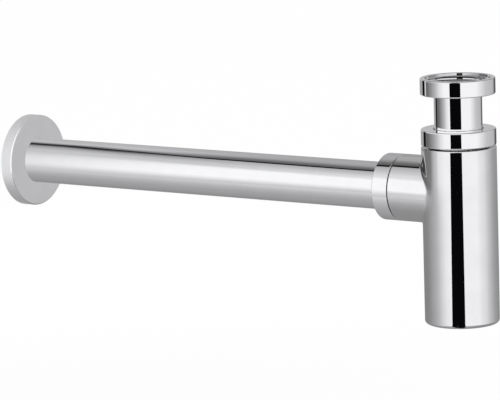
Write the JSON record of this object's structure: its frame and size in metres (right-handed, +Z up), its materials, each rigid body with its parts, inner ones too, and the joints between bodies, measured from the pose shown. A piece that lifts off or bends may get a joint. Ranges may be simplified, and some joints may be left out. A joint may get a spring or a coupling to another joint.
{
  "type": "bottle trap",
  "caption": "Round chromed bottle trap for a wash basin, with union nuts, a dip tube, a side branch, a straight wall pipe and a sliding wall cover.",
  "frame": {"origin": "centre of the inlet nut's thread at its first turn, on the inlet axis, 1.2 mm under the rim", "axes": "+Z up along the inlet axis, +Y along the outlet axis to the wall, X to the side"},
  "size_m": [0.065, 0.3879, 0.165],
  "materials": {
    "body_chrome": "polished chrome plating on brass",
    "plug_chrome": "polished chrome plating on brass",
    "tube_chrome": "polished chrome plating on brass",
    "nut_chrome": "polished chrome plating on brass",
    "cover_chrome": "polished chrome plating on brass",
    "grey_rubber": "matt pale grey rubber",
    "white_plastic": "natural white plastic",
    "black_rubber": "matt black rubber"
  },
  "bodies": {
    "inlet_nut": {"inlet_nut": "nut_chrome"},
    "inlet_washer": {"inlet_washer": "white_plastic"},
    "inlet_tube": {"inlet_tube": "tube_chrome", "inlet_gasket": "grey_rubber"},
    "trap_body": {"trap_body": "body_chrome", "upper_seal": "black_rubber", "outlet_seal": "black_rubber"},
    "upper_slip_ring": {"upper_slip_ring": "white_plastic"},
    "body_nut": {"body_nut": "nut_chrome"},
    "outlet_slip_ring": {"outlet_slip_ring": "white_plastic"},
    "outlet_nut": {"outlet_nut": "nut_chrome"},
    "wall_pipe": {"wall_pipe": "tube_chrome"},
    "rosette": {"rosette": "cover_chrome", "rosette_grip_ring": "black_rubber"},
    "cleanout_seal": {"cleanout_seal": "black_rubber"},
    "cleanout_plug": {"cleanout_plug": "plug_chrome"}
  },
  "joints": [
    {"name": "inlet_nut_swivel", "type": "hinge", "parent": "inlet_nut", "child": "inlet_washer", "pos_m": [0, 0, -0.0072], "axis": [0, 0, 1], "continuous": true},
    {"name": "flange_lift", "type": "slide", "parent": "inlet_washer", "child": "inlet_tube", "axis": [0, 0, 1], "range_m": [0, 0.008]},
    {"name": "height_slide", "type": "slide", "parent": "inlet_tube", "child": "trap_body", "axis": [0, 0, 1], "range_m": [-0.03, 0.008]},
    {"name": "body_nut_rise", "type": "slide", "parent": "trap_body", "child": "upper_slip_ring", "axis": [0, 0, 1], "range_m": [0, 0.00475]},
    {"name": "body_nut_turn", "type": "hinge", "parent": "upper_slip_ring", "child": "body_nut", "pos_m": [0, 0, -0.0383], "axis": [0, 0, 1], "range_deg": [0, 720]},
    {"name": "outlet_nut_travel", "type": "slide", "parent": "trap_body", "child": "outlet_slip_ring", "axis": [0, 1, 0], "range_m": [0, 0.00475]},
    {"name": "outlet_nut_turn", "type": "hinge", "parent": "outlet_slip_ring", "child": "outlet_nut", "pos_m": [0, 0.0495, -0.0753], "axis": [0, 1, 0], "range_deg": [0, 720]},
    {"name": "wall_pipe_slide", "type": "slide", "parent": "trap_body", "child": "wall_pipe", "axis": [0, 1, 0], "range_m": [-0.008, 0.011]},
    {"name": "rosette_slide", "type": "slide", "parent": "wall_pipe", "child": "rosette", "axis": [0, -1, 0], "range_m": [0, 0.275]},
    {"name": "cleanout_plug_travel", "type": "slide", "parent": "trap_body", "child": "cleanout_seal", "axis": [0, 0, -1], "range_m": [0, 0.0031]},
    {"name": "cleanout_plug_turn", "type": "hinge", "parent": "cleanout_seal", "child": "cleanout_plug", "pos_m": [0, 0, -0.1608], "axis": [0, 0, -1], "range_deg": [0, 720]}
  ],
  "couplings": [
    {"joint": "body_nut_rise", "follows": "body_nut_turn", "m_per_rad": 0.00036749},
    {"joint": "outlet_nut_travel", "follows": "outlet_nut_turn", "m_per_rad": 0.00036749},
    {"joint": "cleanout_plug_travel", "follows": "cleanout_plug_turn", "m_per_rad": 0.00023873}
  ]
}
